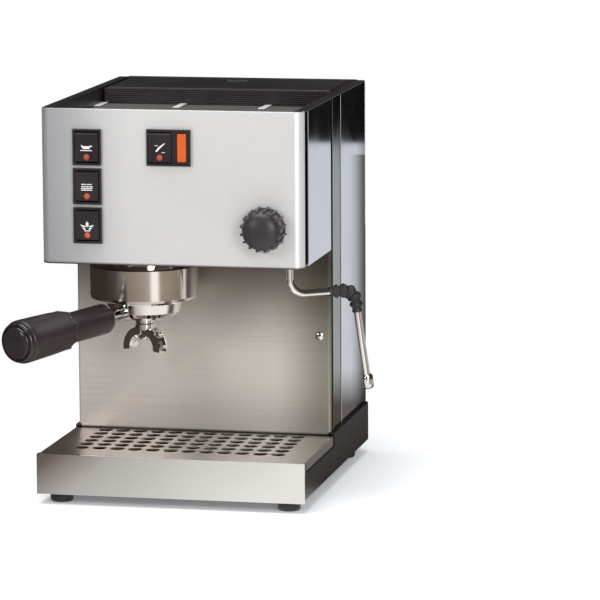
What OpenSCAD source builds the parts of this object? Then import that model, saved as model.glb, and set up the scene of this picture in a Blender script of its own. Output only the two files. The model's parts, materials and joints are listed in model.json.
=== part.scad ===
// Single-boiler espresso machine in folded steel sheet, with its portafilter, steam wand, drip tray,
// water tank and switches. Millimetres, +Z up. The origin is on the counter, midway between the base's
// sides, front and back. The front faces -Y and +X is on the user's right.

/* [Body] */
// Width of the base
body_w = 235; // [225:1:290]
// Depth of the base
body_d = 290; // [275:1:350]
// Height from the counter to the top edge
body_h = 340; // [330:1:410]
// Height of the head, from its underside to the top edge
head_h = 133; // [130:1:160]
// Distance of the head's front behind the base's front
head_setback = 13.4; // [8:0.2:20]
// Distance of the casing's sides inside the base's sides
casing_inset = 3.5; // [2.5:0.5:8]
// Depth of the brewing space, from the base's front to the splash panel
brew_d = 127; // [115:1:145]
// Thickness of the steel sheet
sheet_t = 1.2; // [0.8:0.1:1.6]
// Outer radius of the front panel's bends
bend_r = 8; // [6:0.5:9]
// Height of the back part of the base
base_h = 46; // [44:1:54]
// Height of the rubber feet
foot_h = 11.5; // [10:0.5:14]
// Diameter of the rubber feet
foot_dia = 20; // [14:1:26]

/* [Drip tray] */
// Top of the tray's front above the counter
tray_h = 43.5; // [42:0.5:44]
// Diameter of the grate's holes
grate_hole_dia = 12.5; // [8:0.5:13.5]
// Hole pitch across the grate
grate_pitch_x = 15.8; // [14.5:0.1:17]
// Hole pitch from front to back
grate_pitch_y = 16.2; // [14.5:0.1:17]
// Holes in a row
grate_columns = 12; // [8:1:12]
// Rows of holes
grate_rows = 6; // [4:1:6]

/* [Group and portafilter] */
// Group axis to the left of the middle
group_left = 39; // [32:1:44]
// Group axis in front of the splash panel
group_reach = 54; // [52:1:58]
// Outer diameter of the group's collar
collar_dia = 93.7; // [92:0.1:97]
// Height of the collar
collar_h = 29.8; // [28:0.2:34]
// Gap between the collar and the head's underside
collar_gap = 6.6; // [4:0.2:9]
// Inner diameter of the filter basket
basket_dia = 58; // [56:0.5:59]
// Angle of the handle to the left of straight ahead
handle_angle = 24; // [0:1:40]
// Length of the handle's grip
handle_l = 122; // [108:1:134]
// Thickest diameter of the grip
handle_dia = 37; // [31:0.5:39]
// Turn of the portafilter between locked and free
lock_turn = 50; // [45:1:55]

/* [Steam] */
// Steam knob diameter
knob_dia = 39.6; // [34:0.2:44]
// Steam knob depth
knob_d = 23; // [18:0.5:28]
// Fins round the knob
knob_fins = 16; // [12:1:20]
// Outer diameter of the steam wand's tube
wand_dia = 6.4; // [5.6:0.2:7.2]
// Direction of the wand, turned back from straight right
wand_angle = 36; // [0:1:45]
// Reach of the wand from its swivel to the middle of its second bend
wand_reach = 50; // [44:1:56]
// Length of the wand's straight lower tube
wand_drop = 68; // [54:1:74]

/* [Switches] */
// Width of a switch bezel
bezel_w = 25; // [24:0.5:27]
// Height of a switch bezel
bezel_h = 31; // [30:0.5:32.5]
// Vertical pitch of the switches
switch_pitch = 33.4; // [33:0.1:34]
// Width of the power switch's bezel
power_w = 38.2; // [37:0.2:42]

/* [Water and boiler] */
// Outer width of the water tank
tank_w = 184; // [150:1:190]
// Outer depth of the water tank
tank_d = 80; // [60:1:82]
// Wall of the water tank
tank_wall = 2.5; // [2:0.5:4]
// Outer diameter of the boiler
boiler_dia = 84; // [76:1:88]
// Height of the boiler above its flange
boiler_h = 78; // [66:1:82]

/* [Hidden] */

$fn = 64;
eps = 0.01;
run_gap = 0.05;      // radial clearance of a shaft that turns in a bore
loose_gap = 0.4;     // gap beside a piece that lifts or slides out

// Levels and faces of the body
front_y = -body_d / 2;
rear_y = body_d / 2;
head_front_y = front_y + head_setback;
head_z = body_h - head_h;
splash_y = front_y + brew_d;
casing_x = body_w / 2 - casing_inset;
base_wall = 2;
floor_top = foot_h + base_wall;
frame_t = 2;
frame_x = casing_x - sheet_t - 1.3;            // outer face of the inner frame's side plates
post_y = splash_y + 11.5;                      // front of the corner posts
post_d = 32;                                   // depth of the corner posts
seam = 4;                                      // gap between a post and its side panel
side_y = post_y + post_d + seam;               // front of the side panels
rear_bend_y = rear_y - 6;                      // where the rear panel's bends begin
panel_z = base_h + 0.5;                        // foot of the casing panels
panel_top = body_h - sheet_t;
front_fold_d = bend_r + 1.5;                   // depth of the front panel's folded sides
head_side_y = head_front_y + 24;
rear_bend_r = 5;
splash_bend_r = 2.4;
splash_fold_d = 4;                             // depth of the splash panel's folded sides
floor_plate_z = head_z + sheet_t + 0.2;        // underside of the head's floor plate
floor_plate_t = 1.5;

// Drip tray and grate
fascia_z = foot_h - 2.7;
grate_t = 1.2;
grate_z = tray_h - 0.1 - grate_t;
skirt_z = tray_h - 8.5;                        // foot of the grate's side skirts
base_side_z = skirt_z - 0.5;                   // top of the base's sides beside the tray
lip_d = 3.5;                                   // folded lip on top of the tray's front
return_d = 7;                                  // folds at the sides of the tray's front
return_z = skirt_z - 3;
grate_x = body_w / 2 - sheet_t - 0.1;
grate_front_y = front_y + lip_d + 0.6;
grate_rear_y = splash_y - 1.2;
grate_mid_y = splash_y - 50;
pan_x = body_w / 2 - 5;
pan_z = floor_top + 0.5;
pan_rear_y = splash_y + 14;

// Cup tray, surround and tank
cup_floor_z = body_h - 14.3;
rail_w = 6;
rail_x = frame_x;
well_x = rail_x - rail_w;                      // inner face of the top rails
surround_y = splash_y + 60;
surround_z = cup_floor_z + 0.3;
surround_x = well_x - 2.5;
lid_x = surround_x - 2.4;
lid_y = surround_y + 7;
lid_rear_y = rear_bend_y - 2.5;
lid_t = 3.5;
shelf_z = base_h + 100;                        // top of the shelf the tank stands on
shelf_t = 2;
tank_mid_y = (lid_y + lid_rear_y) / 2;
tank_z = shelf_z + 4;
tank_top = body_h - lid_t - 8;
spigot_r = 8;

// Group, measured from the head's underside
group_x = -group_left;
group_y = splash_y - group_reach;
collar_top = head_z - collar_gap;
collar_z = collar_top - collar_h;
ceiling_z = collar_z + 19.4;                   // roof of the group's bowl
bowl_r = basket_dia / 2 + 10.5;                // inner radius of the collar
rim_r = basket_dia / 2 + 5.8;                  // outer radius of the portafilter's rim
lug_r = bowl_r - 0.8;
gasket_z = ceiling_z - 8.5;
rim_z = gasket_z - 0.2;                        // top of the basket's flange
basket_depth = 19;
neck_r = 32;                                   // neck between the collar and the flange
flange_r = boiler_dia / 2 + 9;
flange_z = floor_plate_z + floor_plate_t;
flange_t = 5;
ledge_h = 3.4;                                 // height of the bayonet ledges inside the collar
lug_z = collar_z + ledge_h + 0.4;
lug_arc = 30;
gap_arc = 60;
lock_axis = 270 - handle_angle;                // heading of the handle when locked
bowl_z = collar_z - 19.6;                      // bottom of the portafilter's bowl
boss_h = 2.6;                                  // boss the spout screws up to
handle_slope = 2.5;
handle_start = basket_dia / 2 + 25;
handle_z = collar_z - 11.4;
stem_r = 4.5;
spout_pitch = 31.2;
spout_r = 5;

// Steam parts
knob_x = 81.5;
knob_z = body_h - 98.6;
knob_back_y = head_front_y - 1;
stem_rad = 4;
wand_r = wand_dia / 2;
swivel_x = knob_x + 13.6;
swivel_y = head_front_y + 33.6;
nut_z = head_z - 1;
nut_h = 7;
bend1_r = 15;
bend2_r = 12;
bend_thin = 0.03;                              // a bend is this much thinner than the tubes it joins
bend_lap = 0.3;                                // length of tube that covers the end of a bend
wand_tilt = 9;                                 // lean of the lower tube
wand_z = head_z - 26.5;                        // level run of the wand
valve_z = nut_z + nut_h;

// Switches
switch_x = -72.3;
switch_top_z = body_h - 32.4;
power_x = -1;
power_z = body_h - 31.6;
bezel_t = 3;
rocker_w = bezel_w - 5;
rocker_r = bezel_h / 2 - 2.5;
housing_d = 18;
pivot_y = head_front_y + 0.6;
power_rocker_x = power_x - power_w / 2 + rocker_w / 2 + 1.7;
lens_w = 7.5;
lens_h = 23.6;
lens_x = power_x + power_w / 2 - 7.4;
lamp_r = 2.8;
lamp_drop = rocker_r - 4.6;                    // the lamps' depth below the rockers' pivots

// Boiler and its fittings
boiler_z = flange_z + flange_t;
boiler_top = boiler_z + boiler_h;
bolt_count = 6;
element_r = boiler_dia / 2 - 14;               // radius of the heating element's bend
element_rad = 4;
pump_z = floor_top + 40;
pump_face_y = 22;                              // half the width of the pump's coil
pipe_r = 3;

module block(a, b) { translate(a) cube(b - a); }
module rod_y(r, x, z, y0, y1) { translate([x, y0, z]) rotate([-90, 0, 0]) cylinder(r = r, h = y1 - y0); }
module rod_x(r, y, z, x0, x1) { translate([x0, y, z]) rotate([0, 90, 0]) cylinder(r = r, h = x1 - x0); }
module both_sides() { children(); mirror([1, 0, 0]) children(); }
module at_group() { translate([group_x, group_y, 0]) children(); }
// Children drawn along +X point along the locked handle.
module along_handle() { at_group() rotate([0, 0, lock_axis]) children(); }
// Children are drawn about +Z on the handle's sloping axis, with z = 0 at the group's axis.
module on_handle_axis() {
    along_handle() translate([0, 0, handle_z + handle_start * sin(handle_slope)])
        rotate([0, 90 + handle_slope, 0]) children();
}
// A quarter of a bend: a circle of radius r swept by the angle a on the radius big.
module bend(big, r, a) { rotate_extrude(angle = a) translate([big, 0]) circle(r = r); }
module sector(r, h, a0, a1) {
    linear_extrude(h) polygon(concat([[0, 0]],
        [for (i = [0 : 6]) r * [cos(a0 + (a1 - a0) * i / 6), sin(a0 + (a1 - a0) * i / 6)]]));
}

// Outline of the base with round rear corners
module base_outline(x, y0, y1, r) {
    translate([-x, y0]) square([2 * x, y1 - y0 - r]);
    translate([-x + r, y0]) square([2 * (x - r), y1 - y0]);
    for (s = [-1, 1]) translate([s * (x - r), y1 - r]) circle(r = r);
}

module base_frame() {
    corner_r = 12;
    hole_x = body_w / 2 - 17;
    color("#1d1a1c") difference() {
        translate([0, 0, foot_h]) linear_extrude(base_h - foot_h)
            base_outline(body_w / 2, front_y + sheet_t + 0.8, rear_y, corner_r);
        translate([0, 0, floor_top]) linear_extrude(base_h - floor_top - base_wall)
            base_outline(body_w / 2 - base_wall, front_y - 1, rear_y - base_wall, corner_r - base_wall);
        block([-hole_x, splash_y + 5, base_h - base_wall - 1], [hole_x, rear_y - 15, base_h + 1]);
        block([-body_w, front_y - 1, base_side_z], [body_w, splash_y + sheet_t + 0.3, base_h + 1]);
        block([-body_w, front_y - 1, return_z - 0.5], [body_w, front_y + return_d + 0.5, base_h + 1]);
    }
}

module rubber_feet() {
    r = foot_dia / 2;
    color("#151314") both_sides()
        for (y = [front_y + 18, rear_y - 37])
            translate([body_w / 2 - 17.5, y, 0]) rotate_extrude()
                polygon([[0, 0], [r - 1, 0], [r, 1.5], [r, foot_h], [0, foot_h]]);
}

module drip_tray() {
    x = body_w / 2;
    color("#b9b4ae") {
        difference() {
            union() {
                block([-x, front_y, fascia_z], [x, front_y + sheet_t, tray_h]);
                block([-x, front_y, tray_h - sheet_t], [x, front_y + lip_d, tray_h]);
                both_sides() block([x - sheet_t, front_y, return_z], [x, front_y + return_d, tray_h]);
                block([-pan_x, front_y + eps, pan_z], [pan_x, pan_rear_y, grate_z]);
            }
            block([-pan_x + sheet_t, front_y + sheet_t, pan_z + sheet_t],
                  [pan_x - sheet_t, pan_rear_y - sheet_t, grate_z + eps]);
        }
    }
}

module drip_grate() {
    x0 = -(grate_columns - 1) * grate_pitch_x / 2;
    y0 = grate_mid_y - (grate_rows - 1) * grate_pitch_y / 2;
    color("#c9c6c2") difference() {
        union() {
            block([-grate_x, grate_front_y, grate_z], [grate_x, grate_rear_y, grate_z + grate_t]);
            both_sides() block([grate_x - sheet_t, front_y + return_d + 1, skirt_z],
                               [grate_x, grate_rear_y, grate_z + eps]);
        }
        for (i = [0 : grate_columns - 1], j = [0 : grate_rows - 1])
            translate([x0 + i * grate_pitch_x, y0 + j * grate_pitch_y, grate_z - 1])
                cylinder(d = grate_hole_dia, h = grate_t + 2, $fn = 32);
    }
}

module splash_panel() {
    r = 3;
    flat_x = casing_x - splash_bend_r;
    z0 = grate_z + 0.5;
    fold_z = base_h + 0.7;                     // the sides are folded back above here
    z1 = head_z - 0.5;
    screw_z = base_h + 86;
    color("#9b958e") difference() {
        union() {
            translate([0, 0, fold_z]) linear_extrude(z1 - fold_z)
                folded_front(casing_x, splash_y, splash_fold_d, splash_bend_r);
            translate([0, splash_y + sheet_t, 0]) rotate([90, 0, 0]) linear_extrude(sheet_t) {
                translate([-flat_x, z0 + r]) square([2 * flat_x, fold_z - z0 - r + eps]);
                translate([-flat_x + r, z0]) square([2 * (flat_x - r), fold_z - z0]);
                for (s = [-1, 1]) translate([s * (flat_x - r), z0 + r]) circle(r = r);
            }
        }
        both_sides() rod_y(2.2, casing_x - 9.5, screw_z, splash_y - 1, splash_y + sheet_t + 1);
    }
}

// A dome-headed screw whose head faces -Y
module dome_screw(x, y, z) {
    head_r = 3.6;
    translate([x, y, z]) rotate([90, 0, 0]) {
        rotate_extrude() intersection() {
            translate([0, -head_r]) circle(r = 2 * head_r - 1.2);
            square([head_r, 2.6]);
        }
        translate([0, 0, -7]) cylinder(r = 2, h = 7);
    }
}

module panel_screws() {
    color("#d8d8d6") {
        both_sides() dome_screw(casing_x - 9.5, splash_y, base_h + 86);
        both_sides() for (z = [base_h + 20, body_h - 30])
            translate([0, 2 * rear_y, 0]) mirror([0, 1, 0]) dome_screw(casing_x - 16, rear_y, z);
    }
}

// Plan of a sheet folded round both front corners with the outer radius corner_r
module folded_front(x, y, depth, corner_r) {
    module plan(x, y, r) {
        translate([-x + r, y]) square([2 * (x - r), 3 * depth]);
        translate([-x, y + r]) square([2 * x, 3 * depth]);
        for (s = [-1, 1]) translate([s * (x - r), y + r]) circle(r = r);
    }
    intersection() {
        difference() {
            plan(x, y, corner_r);
            plan(x - sheet_t, y + sheet_t, corner_r - sheet_t);
        }
        translate([-x, y]) square([2 * x, depth]);
    }
}

module front_panel() {
    cut_w = bezel_w - 2.4;
    cut_h = bezel_h - 2.4;
    y0 = head_front_y - 1;
    y1 = head_front_y + sheet_t + 1;
    color("#c6c9ce") difference() {
        union() {
            translate([0, 0, head_z]) linear_extrude(head_h)
                folded_front(casing_x, head_front_y, front_fold_d, bend_r);
            for (z = [head_z, body_h - sheet_t])
                block([-casing_x + bend_r, head_front_y + eps, z],
                      [casing_x - bend_r, head_front_y + 4, z + sheet_t]);
        }
        for (i = [0 : 2]) {
            z = switch_top_z - i * switch_pitch;
            block([switch_x - cut_w / 2, y0, z - cut_h / 2], [switch_x + cut_w / 2, y1, z + cut_h / 2]);
        }
        block([power_x - power_w / 2 + 1.2, y0, power_z - cut_h / 2],
              [power_x + power_w / 2 - 1.2, y1, power_z + cut_h / 2]);
        rod_y(stem_rad + 2.5, knob_x, knob_z, y0, y1);
    }
}

module head_floor() {
    color("#3a3836") difference() {
        block([-frame_x + frame_t + 0.2, head_front_y + 4.5, floor_plate_z],
              [frame_x - frame_t - 0.2, post_y - 5, floor_plate_z + floor_plate_t]);
        at_group() translate([0, 0, head_z]) cylinder(r = neck_r + 1, h = 10);
        translate([swivel_x, swivel_y, head_z]) cylinder(r = 11, h = 10);
    }
}

module inner_frame() {
    frame_y = head_front_y + bend_r;
    color("#161415") {
        both_sides() {
            block([frame_x - frame_t, frame_y, floor_plate_z], [frame_x, rear_bend_y - 1, surround_z - 1]);
            block([frame_x - frame_t, splash_y + sheet_t + 0.3, base_h],
                  [frame_x, rear_bend_y - 1, floor_plate_z + eps]);
        }
        block([-frame_x + eps, frame_y - 3, floor_plate_z + 4],
              [frame_x - eps, frame_y + eps, floor_plate_z + 12]);
        difference() {
            block([-frame_x + eps, surround_y + 3, shelf_z - shelf_t],
                  [frame_x - eps, rear_bend_y - 1.2, shelf_z]);
            translate([0, tank_mid_y, shelf_z - 5]) cylinder(r = spigot_r + 4, h = 10);
        }
        block([-frame_x + eps, splash_y + sheet_t + 0.3, base_h + 0.2],
              [frame_x - eps, splash_y + sheet_t + 3, base_h + 6]);
    }
}

// One side of the head: a folded sheet with a flange under it
module head_side() {
    y1 = post_y - 7.5;
    block([casing_x - sheet_t, head_side_y, head_z], [casing_x, y1, panel_top]);
    block([frame_x + 0.1, head_side_y, head_z], [casing_x - eps, y1, head_z + sheet_t]);
}
module right_head_side() { color("#cfd2d3") head_side(); }
module left_head_side() { color("#cfd2d3") mirror([1, 0, 0]) head_side(); }

module corner_posts() {
    color("#8f948f") both_sides() {
        block([casing_x - sheet_t, post_y, panel_z], [casing_x, post_y + post_d, panel_top]);
        block([frame_x + 0.1, post_y, panel_z], [casing_x - eps, post_y + sheet_t, panel_top]);
    }
}

module side_panel() {
    block([casing_x - sheet_t, side_y, panel_z], [casing_x, rear_bend_y - 0.3, panel_top]);
    block([frame_x + 0.1, side_y, panel_z], [casing_x - eps, side_y + sheet_t, panel_top]);
}
module right_side_panel() { color("#ccd2d8") side_panel(); }
module left_side_panel() { color("#ccd2d8") mirror([1, 0, 0]) side_panel(); }

module rear_panel() {
    vent_w = 60;
    screw_x = casing_x - 16;
    color("#c2c6ca") difference() {
        translate([0, 0, panel_z]) mirror([0, 1, 0]) linear_extrude(panel_top - panel_z)
            folded_front(casing_x, -rear_y, rear_y - rear_bend_y, rear_bend_r);
        for (i = [0 : 7], s = [-1, 1])
            block([s * 45 - vent_w / 2, rear_y - 3, base_h + 24 + i * 9],
                  [s * 45 + vent_w / 2, rear_y + 1, base_h + 28 + i * 9]);
        rod_y(7.2, 0, base_h + 14, rear_y - 3, rear_y + 1);
        both_sides() for (z = [base_h + 20, body_h - 30]) rod_y(2.2, screw_x, z, rear_y - 3, rear_y + 1);
    }
}

module cord_gland() {
    color("#181617") difference() {
        union() {
            rod_y(7, 0, base_h + 14, rear_y - 6, rear_y + 1);
            rod_y(10, 0, base_h + 14, rear_y, rear_y + 4);
        }
        rod_y(3.6, 0, base_h + 14, rear_y - 7, rear_y + 5);
    }
}

module top_rails() {
    y0 = head_front_y + bend_r - 2.5;
    y1 = rear_y - sheet_t - 0.3;
    rear_x = casing_x - 8;
    color("#1a1718") {
        both_sides() block([well_x, y0, surround_z - 0.6], [rail_x, rear_bend_y - 1, body_h]);
        both_sides() block([rail_x - eps, head_front_y + front_fold_d + 0.3, panel_top + 0.1],
                           [casing_x, rear_bend_y - 1, body_h]);
        block([-rear_x, rear_bend_y - 2, surround_z - 0.6], [rear_x, y1, body_h]);
    }
}

module cup_tray() {
    y0 = head_front_y + sheet_t + 0.2;
    x = well_x - 0.2;
    color("#b3aab0") {
        block([-x, y0, cup_floor_z - sheet_t], [x, surround_y - 0.3, cup_floor_z]);
        block([-x, y0, cup_floor_z - 2.8], [x, y0 + sheet_t, cup_floor_z - eps]);
    }
}

module lid_surround() {
    ribs = 7;
    rib_pitch = (body_h - 1.2 - surround_z) / ribs;
    color("#242123") difference() {
        block([-surround_x, surround_y, surround_z], [surround_x, lid_rear_y + 0.3, body_h - 0.8]);
        block([-lid_x - loose_gap, lid_y - 3, surround_z - 1], [lid_x + loose_gap, rear_y, body_h]);
        for (i = [0 : ribs - 1])
            block([-surround_x + 3, surround_y - 1, surround_z + 0.6 + i * rib_pitch],
                  [surround_x - 3, surround_y + 0.9, surround_z + 0.6 + (i + 0.45) * rib_pitch]);
    }
}

// A flat lid whose skirt stands on the tank's rim, with a finger notch in its top
module tank_lid() {
    x = tank_w / 2;
    y0 = tank_mid_y - tank_d / 2;
    y1 = tank_mid_y + tank_d / 2;
    skirt_t = tank_wall - 0.3;
    notch_w = 20;
    notch_y = lid_rear_y - 30;
    color("#1b191b") difference() {
        union() {
            block([-lid_x, lid_y - 3 + loose_gap, body_h - lid_t], [lid_x, lid_rear_y, body_h]);
            block([-x, y0, tank_top + 0.1], [x, y1, body_h - lid_t + eps]);
        }
        block([-x + skirt_t, y0 + skirt_t, tank_top], [x - skirt_t, y1 - skirt_t, body_h - lid_t]);
        block([-notch_w / 2, notch_y, body_h - 2], [notch_w / 2, notch_y + 15, body_h + 1]);
    }
}

module water_tank() {
    y0 = tank_mid_y - tank_d / 2;
    y1 = tank_mid_y + tank_d / 2;
    x = tank_w / 2;
    w = tank_wall;
    color("#d7dde0", 0.5) difference() {
        union() {
            block([-x, y0, tank_z], [x, y1, tank_top]);
            translate([0, tank_mid_y, shelf_z + 0.6]) cylinder(r = spigot_r, h = tank_z - shelf_z);
        }
        block([-x + w, y0 + w, tank_z + w], [x - w, y1 - w, tank_top + 1]);
        translate([0, tank_mid_y, shelf_z]) cylinder(r = spigot_r - 3, h = 20);
    }
}

module tank_seat() {
    color("#2a2829") translate([0, tank_mid_y, 0]) difference() {
        union() {
            translate([0, 0, shelf_z - 12]) cylinder(r = spigot_r + 3.5, h = 12);
            translate([0, 0, shelf_z]) cylinder(r = spigot_r + 6, h = 3.4);
        }
        translate([0, 0, shelf_z - 8]) cylinder(r = spigot_r + loose_gap, h = 20);
        translate([0, 0, shelf_z - 13]) cylinder(r = 3, h = 10);
    }
}

// A soft hose from the tank's seat down to the pump
module suction_hose() {
    r = 4.5;
    big = 20;
    z0 = pump_z;
    color("#c9c4b8", 0.8) {
        translate([0, tank_mid_y, z0 + big]) cylinder(r = r, h = shelf_z - 12.2 - z0 - big);
        translate([big, tank_mid_y, z0 + big]) rotate([90, 0, 0]) rotate([0, 0, 180]) bend(big, r, 90);
        rod_x(r, tank_mid_y, z0, big - eps, 39.8);
    }
}

module group_body() {
    color("#cfcbc4") at_group() difference() {
        union() {
            translate([0, 0, collar_z]) rotate_extrude($fn = 128)
                polygon([[0, 0], [collar_dia / 2 - 3, 0], [collar_dia / 2 - 0.9, 0.9],
                         [collar_dia / 2, 3], [collar_dia / 2, collar_h - 1],
                         [collar_dia / 2 - 1, collar_h], [0, collar_h]]);
            translate([0, 0, collar_top - eps]) cylinder(r = neck_r, h = flange_z - collar_top + 2 * eps);
            translate([0, 0, flange_z]) cylinder(r = flange_r, h = flange_t);
        }
        // the bowl above the ledges, and the opening between them
        translate([0, 0, collar_z + ledge_h]) cylinder(r = bowl_r, h = ceiling_z - collar_z - ledge_h);
        translate([0, 0, collar_z - 1]) cylinder(r = rim_r + 0.6, h = 10);
        for (side = [0, 180])
            intersection() {
                translate([0, 0, collar_z - 1]) cylinder(r = bowl_r, h = 10);
                translate([0, 0, collar_z - 1])
                    sector(2 * bowl_r, 10, lock_axis - 90 - lock_turn - gap_arc / 2 + side,
                           lock_axis - 90 - lock_turn + gap_arc / 2 + side);
            }
        cylinder(r = 3 + run_gap, h = ceiling_z + 10);
        bolt_ring() translate([0, 0, flange_z - 1]) cylinder(r = 3.2, h = flange_t + 2, $fn = 32);
    }
}

module bolt_ring() {
    for (i = [0 : bolt_count - 1]) rotate([0, 0, 30 + i * 360 / bolt_count])
        translate([boiler_dia / 2 + 4.6, 0, 0]) children();
}

module group_gasket() {
    color("#1b1919") at_group() translate([0, 0, gasket_z]) difference() {
        cylinder(r = rim_r + 1.4, h = ceiling_z - gasket_z);
        translate([0, 0, -1]) cylinder(r = basket_dia / 2 + 0.6, h = 20);
    }
}

module shower_plate() {
    color("#b98f52") at_group() translate([0, 0, ceiling_z - 5]) difference() {
        cylinder(r = basket_dia / 2 - 0.4, h = 5);
        translate([0, 0, -1]) cylinder(r = 3.1, h = 7);
        for (i = [0 : 5]) rotate([0, 0, i * 60]) translate([18, 0, -1]) cylinder(r = 1.5, h = 7, $fn = 16);
    }
}

module shower_screen() {
    r = basket_dia / 2 - 0.4;
    color("#c8c6c2") at_group() translate([0, 0, ceiling_z - 7.4]) difference() {
        cylinder(r = r, h = 2.2);
        translate([0, 0, 0.8]) cylinder(r = r - 0.8, h = 5);
        translate([0, 0, -1]) cylinder(r = 3.1, h = 7);
    }
}

module screen_screw() {
    color("#c0bdb8") at_group() {
        translate([0, 0, ceiling_z - 9.6]) cylinder(r = 5.5, h = 2.2);
        translate([0, 0, ceiling_z - 7.5]) cylinder(r = 3, h = 16);
    }
}

module portafilter_body() {
    inner_r = basket_dia / 2 + 2.9;
    top = rim_z - 1.2;
    wall = 3;
    color("#c8c4be") difference() {
        union() {
            at_group() rotate_extrude($fn = 96) polygon([
                [0, bowl_z], [11, bowl_z], [20, bowl_z + 2], [28, bowl_z + 5], [31.5, bowl_z + 8.5],
                [rim_r - 1.6, collar_z - 3], [rim_r, collar_z], [rim_r, top], [0, top]]);
            at_group() translate([0, 0, bowl_z - boss_h]) cylinder(r = 8, h = boss_h + 1);
            for (side = [-90, 90]) at_group() translate([0, 0, lug_z]) intersection() {
                cylinder(r = lug_r, h = 4.2);
                sector(2 * lug_r, 5, lock_axis + side - lug_arc / 2, lock_axis + side + lug_arc / 2);
            }
            on_handle_axis() {
                translate([0, 0, 26]) cylinder(r1 = 7.5, r2 = stem_r + 0.6, h = handle_start - 32);
                translate([0, 0, 26]) cylinder(r = stem_r, h = handle_start + 4);
            }
        }
        at_group() rotate_extrude($fn = 96) polygon([
            [0, bowl_z + wall], [10, bowl_z + wall], [basket_dia / 2 - 1.5, bowl_z + 8.6],
            [inner_r - 1.4, rim_z - basket_depth - 0.5], [inner_r, collar_z - 5],
            [inner_r, top + 1], [0, top + 1]]);
        at_group() translate([0, 0, bowl_z - 10]) cylinder(r = 4, h = 20);
    }
}

module portafilter_handle() {
    neck_gr = 13.1;
    neck_l = handle_l * 0.44;
    r = handle_dia / 2;
    color("#201c1e") on_handle_axis() difference() {
        translate([0, 0, handle_start]) rotate_extrude() polygon([
            [0, 0], [neck_gr - 4, 0], [neck_gr - 1.2, 1.2], [neck_gr, 4], [neck_gr, neck_l - 3],
            [neck_gr + 0.6, neck_l - 1.2], [r - 2.6, neck_l], [r - 1.4, neck_l + 1.6],
            [r, handle_l - 10], [r - 0.4, handle_l - 7], [0, handle_l - 7]]);
        translate([0, 0, handle_start - 1]) cylinder(r = stem_r + run_gap, h = 31.5);
    }
}

module handle_cap() {
    r = handle_dia / 2;
    color("#231f21") on_handle_axis() translate([0, 0, handle_start + handle_l - 7])
        rotate_extrude() polygon([[0, 0], [r - 2, 0], [r - 2, 1], [r - 0.8, 1.6], [r - 2, 4],
                                  [r - 5, 5.8], [r - 9, 6.7], [0, 7]]);
}

module filter_basket() {
    r = basket_dia / 2 + 0.7;
    depth = basket_depth;
    color("#d0cecb") at_group() difference() {
        union() {
            translate([0, 0, rim_z - 1.2]) cylinder(r = rim_r, h = 1.2);
            translate([0, 0, rim_z - depth]) cylinder(r = r, h = depth);
        }
        translate([0, 0, rim_z - depth + 0.7]) cylinder(r = r - 0.7, h = depth);
    }
}

module basket_spring() {
    color("#b7b4ae") at_group() translate([0, 0, rim_z - 9]) rotate_extrude()
        translate([basket_dia / 2 + 1.8, 0]) circle(r = 0.7, $fn = 16);
}

module twin_spout() {
    z0 = bowl_z - 24.5;                        // centre of the spout's arch
    color("#c6c2bb") along_handle() difference() {
        union() {
            translate([0, 0, bowl_z - boss_h - 6]) cylinder(r = 8.5, h = 5.8, $fn = 6);
            translate([0, 0, z0 + 8]) cylinder(r = 5.2, h = bowl_z - boss_h - 0.2 - z0 - 8);
            translate([0, 0, z0]) rotate([90, 0, 90]) bend(spout_pitch / 2, spout_r, 180);
            for (s = [-1, 1]) translate([0, s * spout_pitch / 2, z0 - 2]) cylinder(r = spout_r, h = 2 + eps);
        }
        translate([0, 0, z0]) rotate([90, 0, 90]) bend(spout_pitch / 2, spout_r - 1.4, 180);
        for (s = [-1, 1]) translate([0, s * spout_pitch / 2, z0 - 3])
            cylinder(r = spout_r - 1.4, h = 3 + 2 * eps);
        translate([0, 0, z0 + spout_pitch / 2]) cylinder(r = 3.4, h = 30);
    }
}

module steam_knob() {
    hub_r = knob_dia / 2 - 2.6;
    color("#1c1819") difference() {
        union() {
            translate([knob_x, knob_back_y, knob_z]) rotate([90, 0, 0]) rotate_extrude()
                polygon([[0, 0], [hub_r - 2, 0], [hub_r, 2], [hub_r - 0.6, knob_d - 4],
                         [hub_r - 4, knob_d - 1], [0, knob_d]]);
            for (i = [0 : knob_fins - 1])
                translate([knob_x, knob_back_y, knob_z]) rotate([90, i * 360 / knob_fins, 0])
                    translate([hub_r - 2, -1.1, 2.5]) cube([4.4, 2.2, knob_d - 8]);
        }
        rod_y(stem_rad + run_gap, knob_x, knob_z, knob_back_y - knob_d + 6, knob_back_y + 1);
    }
}

module valve_stem() {
    color("#b8b5b0") rod_y(stem_rad, knob_x, knob_z, knob_back_y - knob_d + 7, head_front_y + 30);
}

module steam_valve() {
    color("#b48a4e") difference() {
        union() {
            rod_y(12, knob_x, knob_z, head_front_y + 10, head_front_y + 44);
            translate([swivel_x, swivel_y, valve_z]) cylinder(r = 8, h = knob_z - valve_z);
            rod_x(6, swivel_y, knob_z - 4, knob_x, swivel_x);
        }
        rod_y(stem_rad + run_gap, knob_x, knob_z, head_front_y + 9, head_front_y + 31);
        translate([swivel_x, swivel_y, valve_z - 1]) cylinder(r = wand_r + run_gap, h = 12);
    }
}

module wand_nut() {
    color("#c9c6c0") translate([swivel_x, swivel_y, nut_z]) difference() {
        cylinder(r = 8.6, h = nut_h - 0.1, $fn = 6);
        translate([0, 0, -1]) cylinder(r = wand_r + run_gap, h = 12);
    }
}

// Children are drawn in the wand's own plane: X outwards, Z up, from the swivel's axis.
module wand_frame() { translate([swivel_x, swivel_y, 0]) rotate([0, 0, wand_angle]) children(); }
// The wand's second bend with a chosen radius
module wand_bend(r) {
    translate([wand_reach, 0, wand_z - bend2_r]) rotate([90, 0, 0]) rotate([0, 0, wand_tilt])
        bend(bend2_r, r - bend_thin, 90 - wand_tilt);
}
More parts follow.
